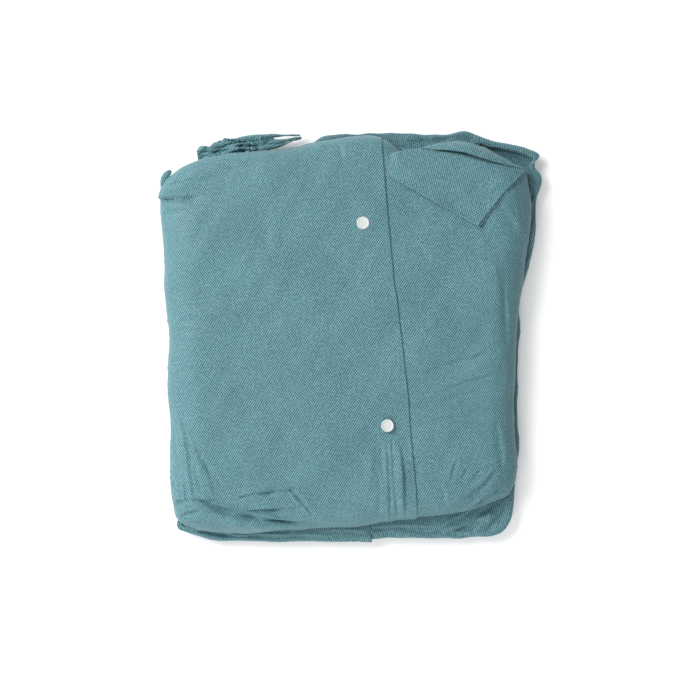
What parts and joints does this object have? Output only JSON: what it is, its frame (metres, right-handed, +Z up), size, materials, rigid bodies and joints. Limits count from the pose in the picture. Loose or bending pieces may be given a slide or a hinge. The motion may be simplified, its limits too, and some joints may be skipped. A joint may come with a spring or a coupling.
{
  "type": "folded disposable lab coat",
  "caption": "Disposable lab coat of teal nonwoven cloth, snapped shut and folded into a soft flat pack, front up, with its collar leaf and a gathered cuff showing.",
  "frame": {"origin": "under the middle of the pack, on the surface that it lies on", "axes": "+Z up through the pack, +Y towards the coat's neck, +X towards the wearer's left"},
  "size_m": [0.3694, 0.3979, 0.0424],
  "materials": {
    "nonwoven_cloth": "matt point-bonded nonwoven with a faint sheen",
    "nonwoven_cloth_inner": "matt point-bonded nonwoven",
    "snap_plastic": "satin white moulded plastic"
  },
  "bodies": {
    "root": {"right_front": "nonwoven_cloth", "left_front": "nonwoven_cloth", "upper_collar": "nonwoven_cloth", "under_collar": "nonwoven_cloth", "collar_stand": "nonwoven_cloth", "lower_right_front": "nonwoven_cloth", "lower_left_front": "nonwoven_cloth", "left_sleeve": "nonwoven_cloth", "right_sleeve": "nonwoven_cloth", "right_cuff": "nonwoven_cloth", "back": "nonwoven_cloth", "back_neck": "nonwoven_cloth_inner", "folded_layers": "nonwoven_cloth_inner", "snap_upper": "snap_plastic", "snap_lower": "snap_plastic"}
  },
  "joints": []
}
